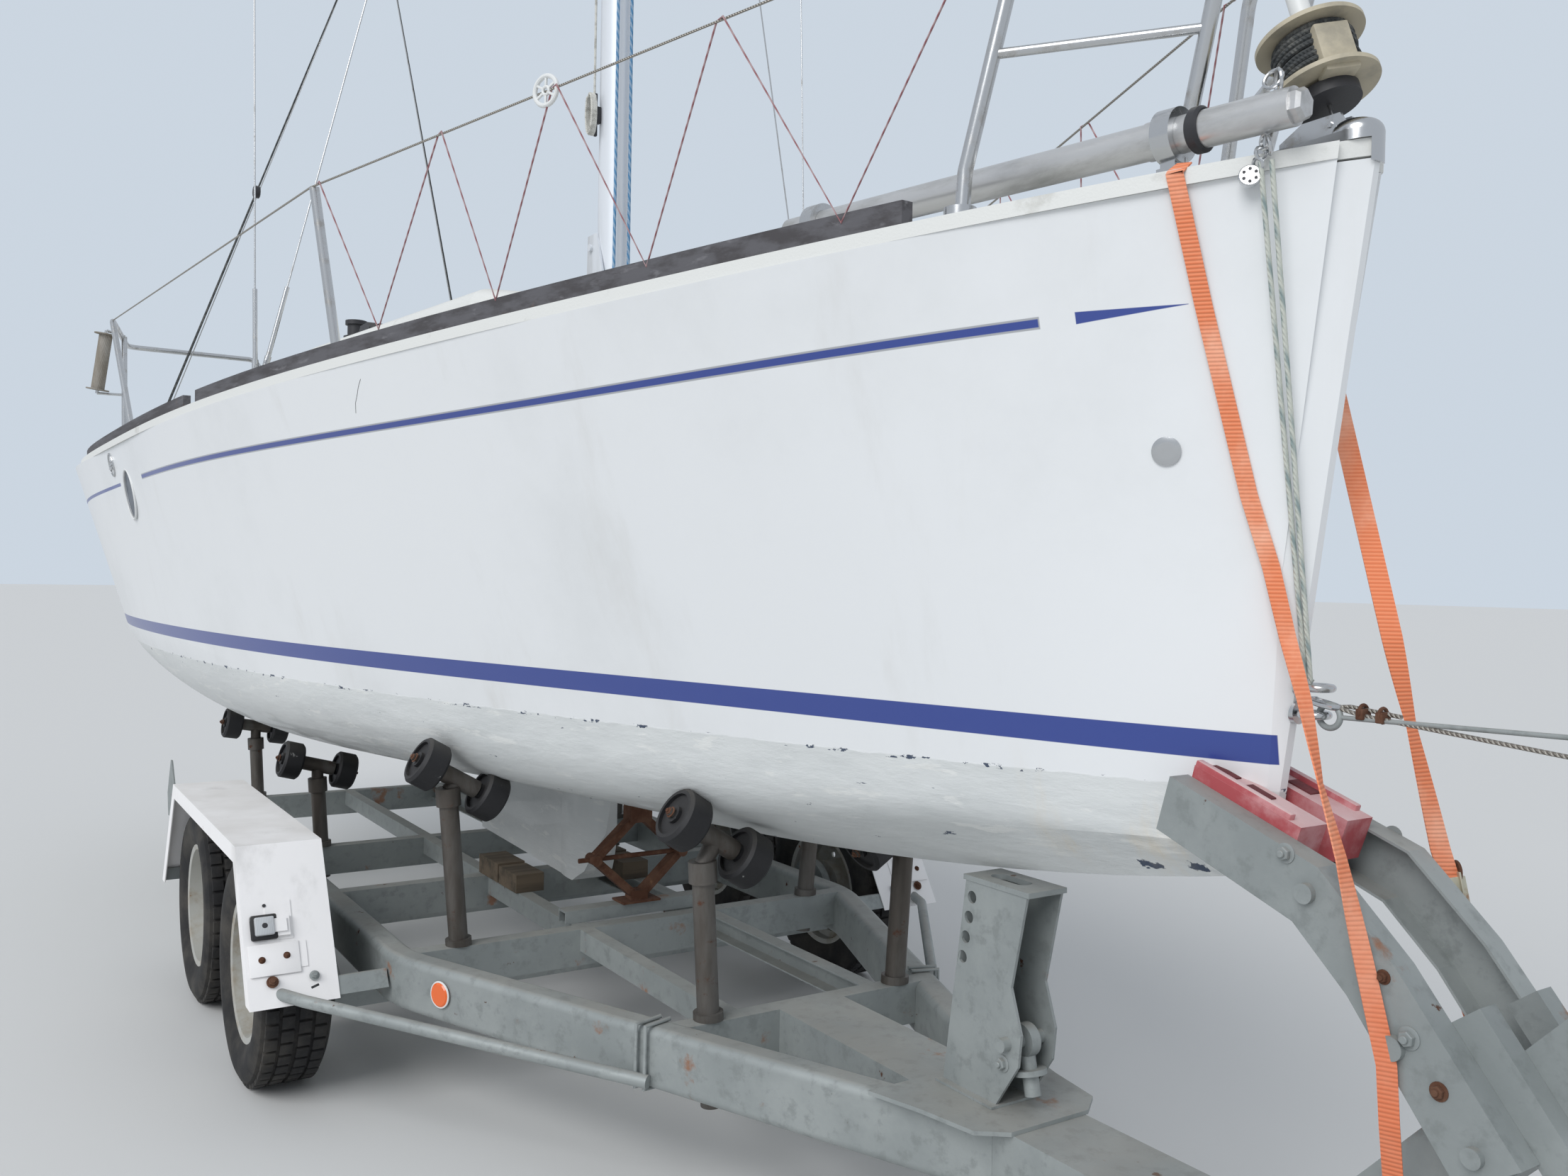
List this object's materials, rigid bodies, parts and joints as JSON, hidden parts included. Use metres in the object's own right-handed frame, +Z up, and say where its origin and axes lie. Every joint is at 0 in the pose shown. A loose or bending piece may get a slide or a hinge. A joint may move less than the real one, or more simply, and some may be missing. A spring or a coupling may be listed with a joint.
{
  "type": "sailing yacht",
  "caption": "Small keel sailing yacht with mast, furler and rails, standing on its tandem-axle road trailer with rollers, winch post and jockey wheel",
  "frame": {"origin": "on the ground under the middle of the whole outfit's bounding box", "axes": "+X towards the bow and the towing coupling, +Y to port, +Z up along the mast"},
  "size_m": [7.78, 2.4374, 10.1943],
  "materials": {
    "hull_gelcoat": "weathered white gelcoat with blue stripes",
    "deck_gelcoat": "matt white gelcoat",
    "dark_glass": "tinted acrylic",
    "dark_acrylic": "smoked acrylic",
    "weathered_teak": "grey weathered",
    "stainless": "polished, a little dull",
    "bright_tube": "polished",
    "dark_plastic": "matt",
    "beige_plastic": "faded",
    "white_foil": "white coated",
    "anodised": "anodised",
    "galvanised": "galvanised steel, dull with light rust",
    "cast_steel": "zinc coated",
    "rusty_steel": "rusty",
    "white_paint": "white paint",
    "black_rubber": "scuffed",
    "red_pad": "faded red polyurethane",
    "timber": "rough sawn",
    "rim_paint": "dusty silver paint",
    "tyre": "road worn"
  },
  "bodies": {
    "outfit": {"hull": "hull_gelcoat", "deck": "deck_gelcoat", "cockpit": "deck_gelcoat", "cabin_windows": "dark_glass", "toe_rails": "weathered_teak", "stem_fittings": "stainless", "sprit": "bright_tube", "furler_cup": "dark_plastic", "mast": "anodised", "mast_foot": "anodised", "spreaders": "anodised", "chainplates": "stainless", "shrouds": "stainless", "stays": "stainless", "pulpit": "stainless", "pushpit": "stainless", "stanchions": "stainless", "forehatch_frame": "anodised", "washboard": "weathered_teak", "deck_gear": "dark_plastic", "keel_fin": "hull_gelcoat", "rudder_straps": "stainless", "side_beam_s": "galvanised", "side_beam_p": "galvanised", "inner_rails": "galvanised", "cross_members": "galvanised", "drawbar": "galvanised", "coupling": "cast_steel", "jockey_tube": "galvanised", "axles": "galvanised", "fenders": "white_paint", "fender_supports": "galvanised", "marker_boards": "white_paint", "roller_posts": "galvanised", "rollers": "black_rubber", "scissor_jack": "rusty_steel", "timber_blocks": "timber", "nose_post": "galvanised", "winch_post": "galvanised", "winch": "galvanised", "bow_arms": "galvanised", "bow_pads": "red_pad"},
    "furler": {"furler_drum": "beige_plastic", "furler_foil": "white_foil"},
    "reel": {"webbing_reel": "beige_plastic"},
    "slide": {"companion_slide": "deck_gelcoat"},
    "lid": {"forehatch": "dark_acrylic"},
    "rudder": {"rudder_head": "anodised", "rudder_blade": "hull_gelcoat", "tiller": "weathered_teak"},
    "jockey_caster": {"jockey_fork": "galvanised"},
    "jockey_roll": {"jockey_wheel": "black_rubber"},
    "wheel_front_s": {"rim_front_s": "rim_paint", "tyre_front_s": "tyre"},
    "wheel_front_p": {"rim_front_p": "rim_paint", "tyre_front_p": "tyre"},
    "wheel_rear_s": {"rim_rear_s": "rim_paint", "tyre_rear_s": "tyre"},
    "wheel_rear_p": {"rim_rear_p": "rim_paint", "tyre_rear_p": "tyre"}
  },
  "joints": [
    {"name": "furler_turn", "type": "hinge", "parent": "outfit", "child": "furler", "pos_m": [2.573, 0, 2.058], "axis": [-0.318, 0, 0.9481], "continuous": true},
    {"name": "reel_turn", "type": "hinge", "parent": "outfit", "child": "reel", "pos_m": [-3.185, -1.1, 2.35], "axis": [0.0792, 0.1188, 0.9898], "continuous": true},
    {"name": "companion_slide", "type": "slide", "parent": "outfit", "child": "slide", "axis": [0.9991, 0, -0.0418], "range_m": [0, 0.46]},
    {"name": "forehatch_hinge", "type": "hinge", "parent": "outfit", "child": "lid", "pos_m": [1.834, 0, 2.0324], "axis": [0, 1, 0], "range_deg": [0, 95]},
    {"name": "rudder_turn", "type": "hinge", "parent": "outfit", "child": "rudder", "pos_m": [-3.628, 0, 1.64], "axis": [0, 0, 1], "range_deg": [-35, 35]},
    {"name": "jockey_swivel", "type": "hinge", "parent": "outfit", "child": "jockey_caster", "pos_m": [3.28, -0.107, 0.3], "axis": [0, 0, 1], "continuous": true},
    {"name": "jockey_spin", "type": "hinge", "parent": "jockey_caster", "child": "jockey_roll", "pos_m": [3.238, -0.107, 0.105], "axis": [0, 1, 0], "continuous": true},
    {"name": "spin_front_s", "type": "hinge", "parent": "outfit", "child": "wheel_front_s", "pos_m": [0.05, -0.942, 0.304], "axis": [0, 1, 0], "continuous": true},
    {"name": "spin_front_p", "type": "hinge", "parent": "outfit", "child": "wheel_front_p", "pos_m": [0.05, 0.942, 0.304], "axis": [0, 1, 0], "continuous": true},
    {"name": "spin_rear_s", "type": "hinge", "parent": "outfit", "child": "wheel_rear_s", "pos_m": [-0.73, -0.942, 0.304], "axis": [0, 1, 0], "continuous": true},
    {"name": "spin_rear_p", "type": "hinge", "parent": "outfit", "child": "wheel_rear_p", "pos_m": [-0.73, 0.942, 0.304], "axis": [0, 1, 0], "continuous": true}
  ]
}
